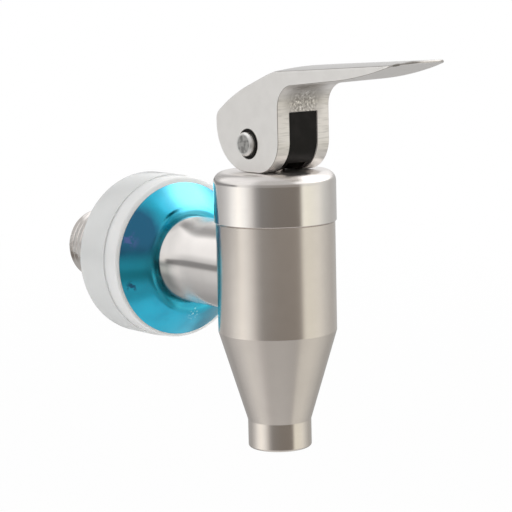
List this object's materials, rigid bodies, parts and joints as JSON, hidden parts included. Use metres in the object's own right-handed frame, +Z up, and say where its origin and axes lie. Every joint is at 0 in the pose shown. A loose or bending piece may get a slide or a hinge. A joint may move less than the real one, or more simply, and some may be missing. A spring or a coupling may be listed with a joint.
{
  "type": "beverage dispenser spigot",
  "caption": "Self-closing lever spigot: upright turned body with a round cap, a horizontal threaded shank with a dished flange and soft washers, and a thumb lever pinned on the stem.",
  "frame": {"origin": "centre of the mouth of the outlet bore, at the lip of the spout", "axes": "+Z up the body to the cap, +Y along the inlet shank into the container, the paddle points to -Y, the lever's pin lies along X"},
  "size_m": [0.0358, 0.112, 0.08],
  "materials": {
    "body_steel": "satin, turned, faint rings",
    "cap_steel": "satin, turned, faint rings on the top",
    "shank_steel": "satin neck, machined thread",
    "filmed_steel": "sheet under a glossy blue protective film",
    "stem_steel": "turned, bright",
    "screw_steel": "turned, plain",
    "spring_steel": "drawn wire, bright",
    "cast_lever_steel": "cast, bead blasted, matte",
    "pin_steel": "ground, light chamfer",
    "washer_silicone": "translucent, matte",
    "milky_silicone": "translucent, smooth",
    "ring_rubber": "smooth, black",
    "guide_plastic": "turned, white",
    "black_plastic": "moulded, black, slight sheen"
  },
  "bodies": {
    "tap": {"valve_body": "body_steel", "bonnet_cap": "cap_steel", "bonnet_seal_ring": "milky_silicone", "inlet_shank": "shank_steel", "escutcheon_flange": "filmed_steel", "front_seal_washer": "washer_silicone", "rear_seal_washer": "washer_silicone", "return_spring": "spring_steel", "spring_top_washer": "stem_steel", "stem_guide_bush": "guide_plastic", "stem_seal_rings": "ring_rubber"},
    "plug": {"seat_plug": "milky_silicone", "spring_collar": "stem_steel"},
    "stem": {"valve_stem": "stem_steel", "collar_clip": "spring_steel", "plug_washer": "stem_steel", "plug_screw": "screw_steel", "pivot_pin": "pin_steel"},
    "lever": {"lever": "cast_lever_steel", "fork_insert": "black_plastic", "pivot_bushes": "black_plastic"}
  },
  "joints": [
    {"name": "stem_lift", "type": "slide", "parent": "tap", "child": "plug", "axis": [0, 0, 1], "range_m": [0, 0.00236], "stiffness_N_per_m": 1500, "springref_m": -0.004, "deforming": ["return_spring"]},
    {"name": "lever_swivel", "type": "hinge", "parent": "plug", "child": "stem", "pos_m": [0, 0, 0.06295], "axis": [0, 0, 1], "range_deg": [-135, 135]},
    {"name": "lever_press", "type": "hinge", "parent": "stem", "child": "lever", "pos_m": [0, 0, 0.06295], "axis": [1, 0, 0], "range_deg": [0, 45]}
  ],
  "couplings": [
    {"joint": "stem_lift", "follows": "lever_press", "m_per_rad": 0.003}
  ]
}
